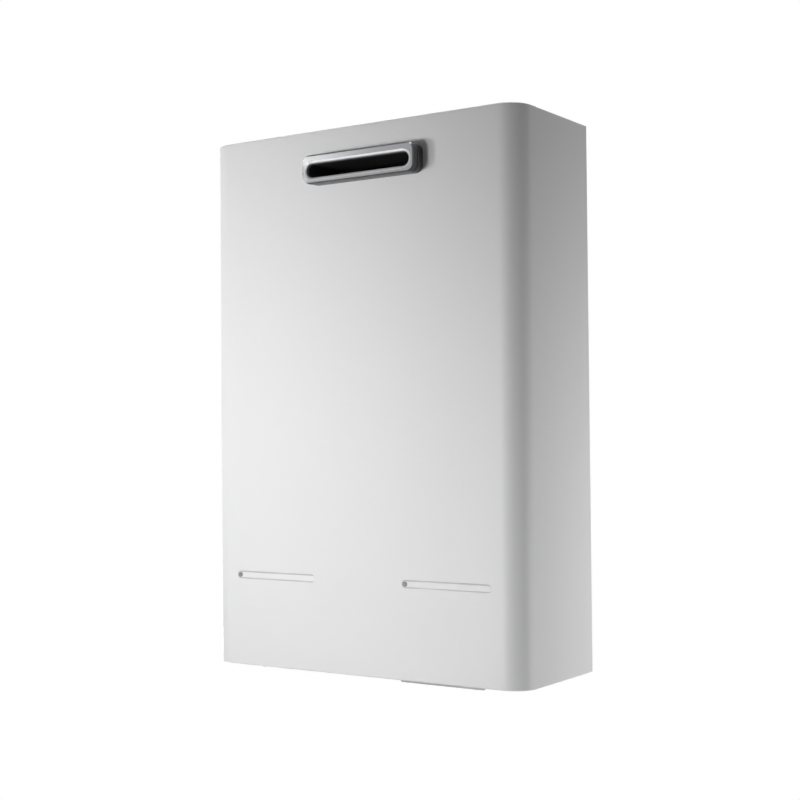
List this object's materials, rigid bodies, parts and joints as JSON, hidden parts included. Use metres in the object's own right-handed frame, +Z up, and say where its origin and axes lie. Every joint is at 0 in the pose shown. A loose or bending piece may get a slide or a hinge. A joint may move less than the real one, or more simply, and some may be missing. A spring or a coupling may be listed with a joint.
{
  "type": "outdoor tankless gas water heater",
  "caption": "Wall-hung outdoor gas water heater: pale steel case with rounded corners and a slotted chrome flue trim; the cover pulls off the burner, fan, valves and pipes.",
  "frame": {"origin": "centre of the four wall bolts, on the wall plane", "axes": "+Z up, +Y into the wall, -Y the front, +X to the viewer's right"},
  "size_m": [0.397, 0.17, 0.63],
  "materials": {
    "cover_paint": "satin",
    "chrome": "polished",
    "black_rubber": "matte",
    "strip_silver": "satin",
    "stud_dark": "gloss",
    "screw_steel": "satin",
    "zinc_steel": "satin",
    "dark_steel": "matte",
    "brass": "satin",
    "black_plastic": "matte",
    "stainless": "brushed",
    "copper": "satin",
    "aluminium": "satin",
    "ceramic": "satin",
    "motor_black": "satin",
    "coil_green": "matte",
    "white_plastic": "matte",
    "grey_plastic": "matte",
    "board_green": "satin",
    "spark_red": "satin",
    "wire_black": "matte"
  },
  "bodies": {
    "chassis": {"cover_seal": "black_rubber", "bracket_rivets": "screw_steel", "column_screws": "screw_steel", "connection_bracket": "zinc_steel", "back_plate": "zinc_steel", "base_plate": "zinc_steel", "wall_bracket_top": "zinc_steel", "wall_bracket_bottom": "zinc_steel", "column_brackets": "zinc_steel", "flue_duct": "dark_steel", "lock_nuts": "brass", "gas_nozzles": "brass", "gas_inlet_union": "brass", "cold_inlet_body": "brass", "water_valve_body": "brass", "hot_outlet_body": "brass", "cable_gland": "black_plastic", "overheat_switch": "black_plastic", "servo_motor": "black_plastic", "flue_hood": "stainless", "burner_box": "stainless", "burner_blades": "stainless", "fan_scroll": "stainless", "fan_cover": "stainless", "gas_pipe": "stainless", "exchanger_shell": "copper", "fin_pack": "copper", "exchanger_tubes": "copper", "combustion_chamber": "copper", "cold_pipe": "copper", "hot_pipe": "copper", "gas_manifold": "aluminium", "gas_valve_body": "aluminium", "spark_electrode": "ceramic", "flame_rod": "ceramic", "fan_motor": "motor_black", "solenoid_coils": "coil_green", "turbine_cage": "white_plastic", "outlet_thermistor": "white_plastic", "terminal_block": "white_plastic", "control_box": "grey_plastic", "control_board": "board_green", "spark_unit": "spark_red", "wire_harness": "wire_black"},
    "cover": {"front_cover": "cover_paint", "flue_trim": "chrome", "flue_trim_gasket": "black_rubber", "accent_strip_left": "strip_silver", "accent_strip_right": "strip_silver", "strip_studs": "stud_dark", "cover_screws": "screw_steel"},
    "fan_rotor": {"fan_impeller": "aluminium", "fan_shaft": "screw_steel"},
    "turbine": {"flow_turbine": "black_plastic"},
    "valve_plug": {"water_valve_plug": "stainless"},
    "shutoff": {"shutoff_plunger": "stainless"},
    "modulator": {"modulating_plunger": "stainless"},
    "cold_plug": {"drain_plug_cold": "black_plastic", "inlet_strainer": "stainless"},
    "hot_plug": {"drain_plug_hot": "black_plastic"}
  },
  "joints": [
    {"name": "cover_pull", "type": "slide", "parent": "chassis", "child": "cover", "axis": [0, -1, 0], "range_m": [0, 0.4]},
    {"name": "fan_spin", "type": "hinge", "parent": "chassis", "child": "fan_rotor", "pos_m": [-0.0235, -0.06, -0.097], "axis": [0, 1, 0], "continuous": true},
    {"name": "turbine_spin", "type": "hinge", "parent": "chassis", "child": "turbine", "pos_m": [0.097, -0.023, -0.2657], "axis": [0, 0, 1], "continuous": true},
    {"name": "valve_turn", "type": "hinge", "parent": "chassis", "child": "valve_plug", "pos_m": [0.097, -0.023, -0.2237], "axis": [0, 1, 0], "range_deg": [0, 90]},
    {"name": "shutoff_lift", "type": "slide", "parent": "chassis", "child": "shutoff", "axis": [0, 0, 1], "range_m": [0, 0.004], "stiffness_N_per_m": 300, "springref_m": -0.005},
    {"name": "modulator_lift", "type": "slide", "parent": "chassis", "child": "modulator", "axis": [0, 0, 1], "range_m": [0, 0.003], "stiffness_N_per_m": 300, "springref_m": -0.005},
    {"name": "cold_plug_turn", "type": "hinge", "parent": "chassis", "child": "cold_plug", "pos_m": [0.097, -0.051, -0.2987], "axis": [0, 0, -1], "range_deg": [0, 990]},
    {"name": "hot_plug_turn", "type": "hinge", "parent": "chassis", "child": "hot_plug", "pos_m": [0.035, -0.051, -0.2987], "axis": [0, 0, -1], "range_deg": [0, 990]}
  ]
}
